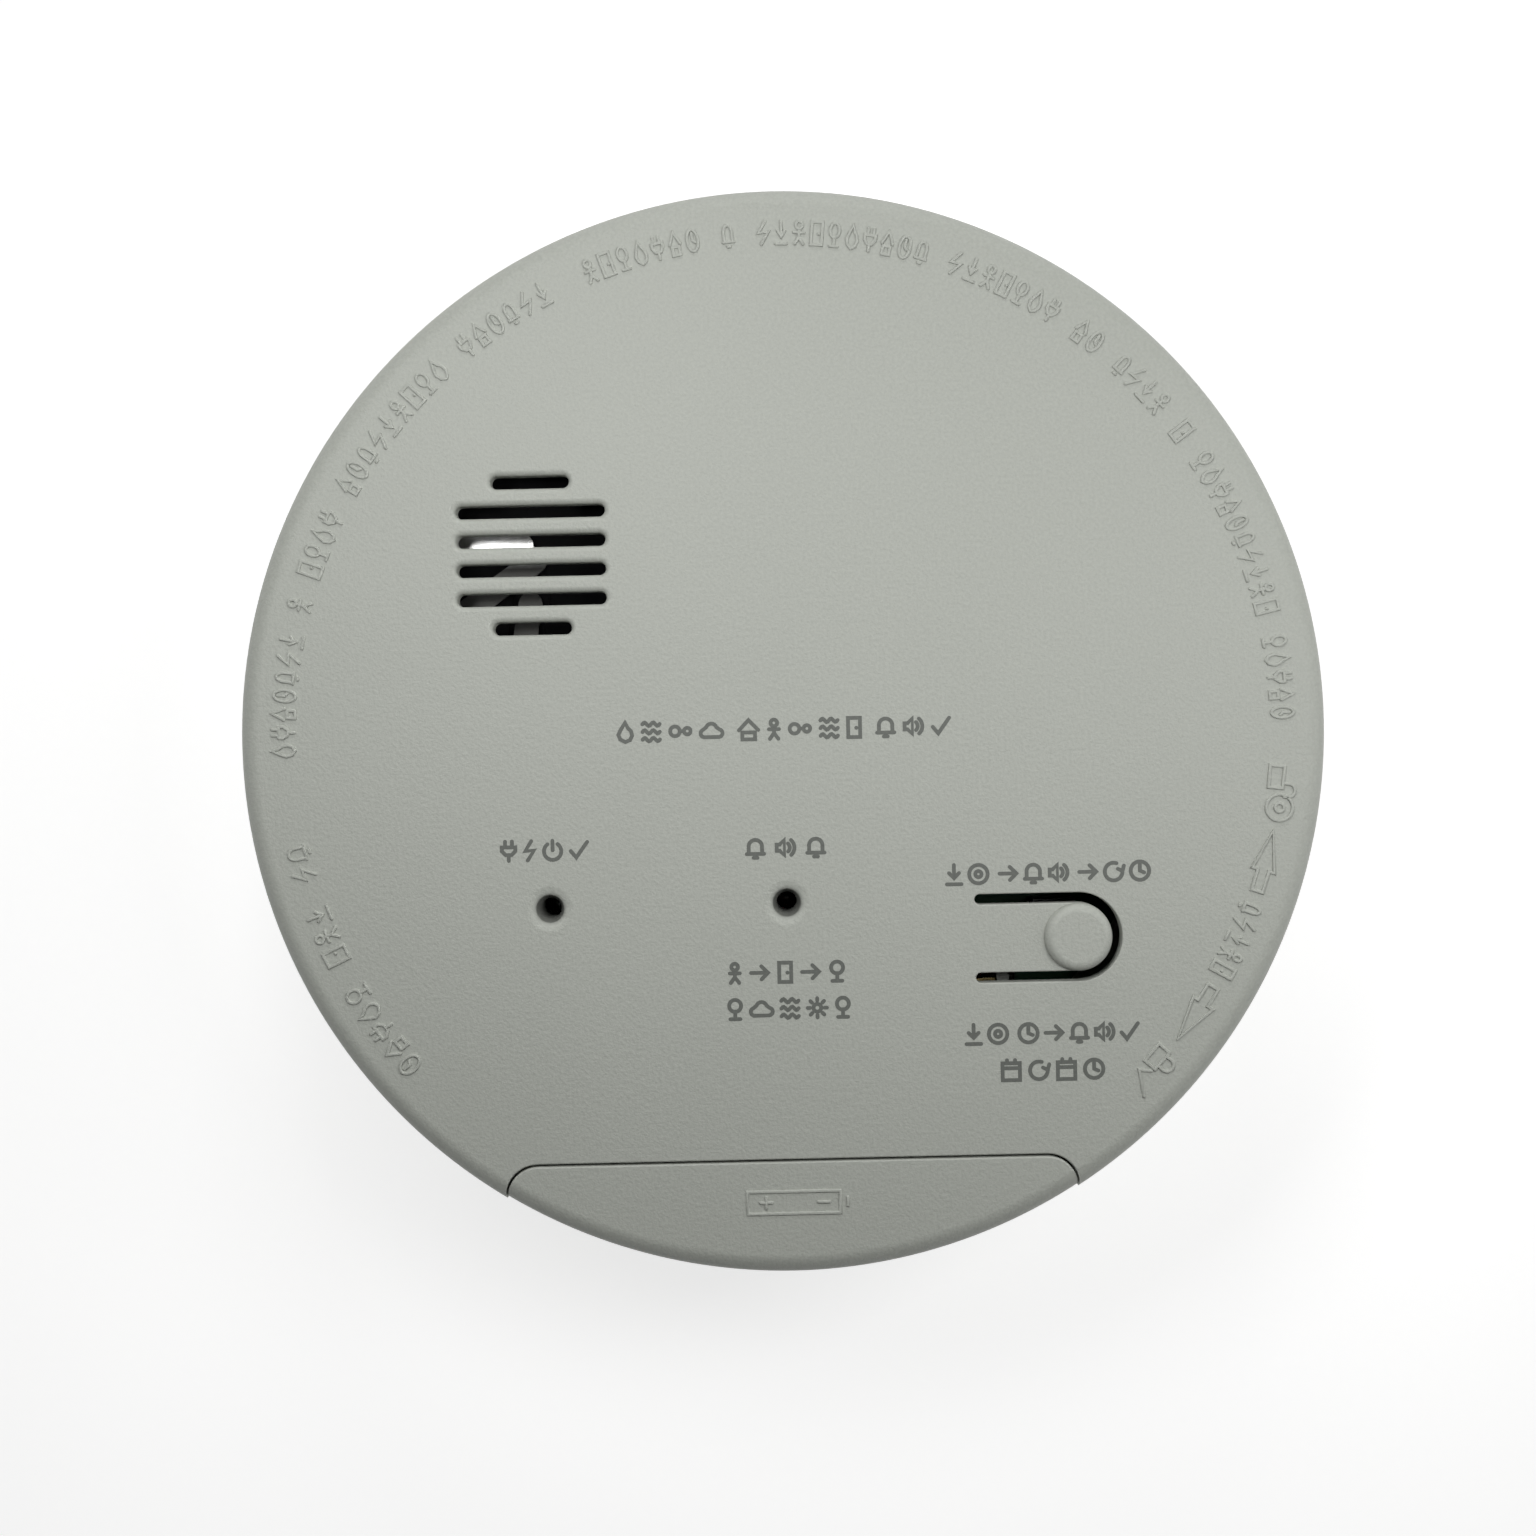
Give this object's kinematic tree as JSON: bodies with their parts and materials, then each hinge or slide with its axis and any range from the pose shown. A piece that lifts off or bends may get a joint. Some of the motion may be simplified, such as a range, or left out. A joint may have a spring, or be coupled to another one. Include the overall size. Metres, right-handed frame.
{
  "type": "carbon monoxide alarm",
  "caption": "Round mains-powered carbon monoxide alarm with a slotted horn, indicator lamps, a tongue button, a sliding battery drawer and a twist-on wall bracket.",
  "frame": {"origin": "centre of the bracket's back face, where it lies on the wall", "axes": "+Z out of the front face, +Y to the top of the face, +X to the right as one looks at the face"},
  "size_m": [0.144, 0.144, 0.0432],
  "materials": {
    "cover_plastic": "fine spark-eroded grain, warm light grey",
    "base_plastic": "fine grain",
    "bracket_plastic": "fine grain",
    "zinc_steel": "zinc plated",
    "spring_steel": "rolled strip",
    "tinned_wire": "tinned",
    "nickel_plate": "nickel plated",
    "contact_brass": "rolled strip",
    "copper_wire": "enamelled copper",
    "label_film": "satin film",
    "black_plastic": "satin",
    "inlet_plastic": "satin nylon",
    "battery_can": "printed steel case",
    "wire_sleeve": "soft sleeve",
    "board_laminate": "solder mask",
    "sounder_coating": "dark protective coating",
    "green_lens": "tinted lens, unlit",
    "red_lens": "tinted lens, unlit",
    "yellow_case": "moulded case",
    "blue_epoxy": "dipped epoxy",
    "resistor_lacquer": "lacquer",
    "capacitor_sleeve": "shrunk sleeve",
    "ferrite": "sintered ferrite",
    "chip_ceramic": "fired ceramic"
  },
  "bodies": {
    "bracket": {"mounting_bracket": "bracket_plastic"},
    "alarm": {"rear_base": "base_plastic", "base_skirt": "base_plastic", "twist_ring": "base_plastic", "front_cover": "cover_plastic", "cover_screws": "zinc_steel", "rating_label": "label_film", "test_switch_base": "black_plastic", "test_switch_cover": "spring_steel", "battery_contact_positive": "contact_brass", "battery_contact_negative": "contact_brass", "battery_wires": "wire_sleeve", "circuit_board": "board_laminate", "board_screws": "zinc_steel", "component_leads": "tinned_wire", "power_inlet_shell": "inlet_plastic", "power_inlet_pins": "contact_brass", "horn_cup": "black_plastic", "horn_diaphragm": "sounder_coating", "horn_ceramic": "sounder_coating", "horn_contacts": "spring_steel", "co_sensor_can": "nickel_plate", "co_sensor_cap": "black_plastic", "co_sensor_pins": "contact_brass", "power_led": "green_lens", "alarm_led": "red_lens", "led_spacers": "black_plastic", "led_leads": "tinned_wire", "film_capacitor": "yellow_case", "surge_varistor": "blue_epoxy", "fuse_resistor": "resistor_lacquer", "rectifier_diodes": "black_plastic", "smoothing_capacitor": "capacitor_sleeve", "small_capacitors": "capacitor_sleeve", "coil_core": "ferrite", "coil_winding": "copper_wire", "controller_chip": "black_plastic", "amplifier_chip": "black_plastic", "chip_parts": "chip_ceramic"},
    "button": {"test_button": "cover_plastic"},
    "plunger": {"test_switch_plunger": "black_plastic"},
    "drawer": {"battery_drawer": "cover_plastic", "battery_case": "battery_can", "battery_top_plate": "black_plastic", "battery_positive_terminal": "nickel_plate", "battery_negative_terminal": "nickel_plate"}
  },
  "joints": [
    {"name": "twist", "type": "hinge", "parent": "bracket", "child": "alarm", "pos_m": [0, 0, 0], "axis": [0, 0, 1], "range_deg": [0, 18]},
    {"name": "button_press", "type": "hinge", "parent": "alarm", "child": "button", "pos_m": [0.02505, -0.0274, 0.0402], "axis": [0, 1, 0], "range_deg": [0, 4], "stiffness_Nm_per_rad": 0.38},
    {"name": "plunger_press", "type": "slide", "parent": "alarm", "child": "plunger", "axis": [0, 0, -1], "range_m": [0, 0.0003]},
    {"name": "drawer_slide", "type": "slide", "parent": "alarm", "child": "drawer", "axis": [0, -1, 0], "range_m": [0, 0.03]}
  ],
  "couplings": [
    {"joint": "plunger_press", "follows": "button_press", "m_per_rad": 0.00429}
  ]
}
